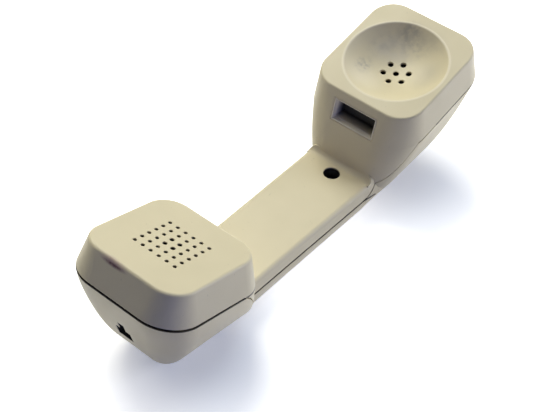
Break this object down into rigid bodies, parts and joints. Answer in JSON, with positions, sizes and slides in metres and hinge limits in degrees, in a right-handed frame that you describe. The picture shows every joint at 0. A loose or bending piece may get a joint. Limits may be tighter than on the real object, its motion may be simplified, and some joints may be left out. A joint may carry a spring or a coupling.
{
  "type": "telephone handset",
  "caption": "Beige two-part moulded telephone handset with a perforated mouth block, a dished ear block, a hook window and a modular jack.",
  "frame": {"origin": "on the handle's flat resting back, midway between the two ends and on the plane that parts left from right", "axes": "+X along the handle towards the ear end, +Y across it, +Z out of the two faces, away from the resting back"},
  "size_m": [0.2217, 0.0596, 0.0667],
  "materials": {
    "shell_plastic": "satin moulded, beige",
    "liner_plastic": "dark moulded",
    "black_plastic": "moulded, black",
    "plated_steel": "zinc plated",
    "contact_metal": "gold flashed",
    "capsule_metal": "drawn, satin",
    "acoustic_cloth": "woven, black",
    "black_rubber": "moulded",
    "board": "glass-fibre board, green",
    "film": "thin formed film",
    "copper_wire": "enamelled winding",
    "magnet": "sintered, dark",
    "varistor_coat": "dipped coating, blue",
    "bar_steel": "bare bar",
    "foam": "closed-cell foam",
    "wire_red": "insulated wire",
    "wire_green": "insulated wire"
  },
  "bodies": {
    "handset": {"front_shell": "shell_plastic", "back_shell": "shell_plastic", "case_screw": "plated_steel", "hook_pocket": "shell_plastic", "jack_housing": "black_plastic", "mic_cloth": "acoustic_cloth", "mic_gasket": "black_rubber", "mic_can": "capsule_metal", "mic_element": "capsule_metal", "mic_board": "board", "mic_base": "black_plastic", "mic_clamp": "liner_plastic", "mic_clamp_screws": "plated_steel", "receiver_cloth": "acoustic_cloth", "receiver_gasket": "black_rubber", "receiver_frame": "black_plastic", "receiver_surround": "film", "receiver_magnet": "magnet", "receiver_pole_plate": "plated_steel", "receiver_yoke": "plated_steel", "receiver_clamp": "liner_plastic", "receiver_clamp_screws": "plated_steel", "receiver_terminals": "contact_metal", "varistor": "varistor_coat", "handle_weight": "bar_steel", "weight_pads": "foam", "leads_mic": "wire_red", "leads_receiver": "wire_green"},
    "diaphragm": {"receiver_diaphragm": "film", "voice_coil": "copper_wire"},
    "contacts": {"jack_contacts": "contact_metal"}
  },
  "joints": [
    {"name": "diaphragm_travel", "type": "slide", "parent": "handset", "child": "diaphragm", "axis": [-0.2233, 0, 0.9748], "range_m": [-0.0003, 0.0003], "stiffness_N_per_m": 1500},
    {"name": "contact_flex", "type": "hinge", "parent": "handset", "child": "contacts", "pos_m": [-0.09845, 0, 0.02169], "axis": [0, 1, 0], "range_deg": [0, 16], "stiffness_Nm_per_rad": 0.085}
  ]
}
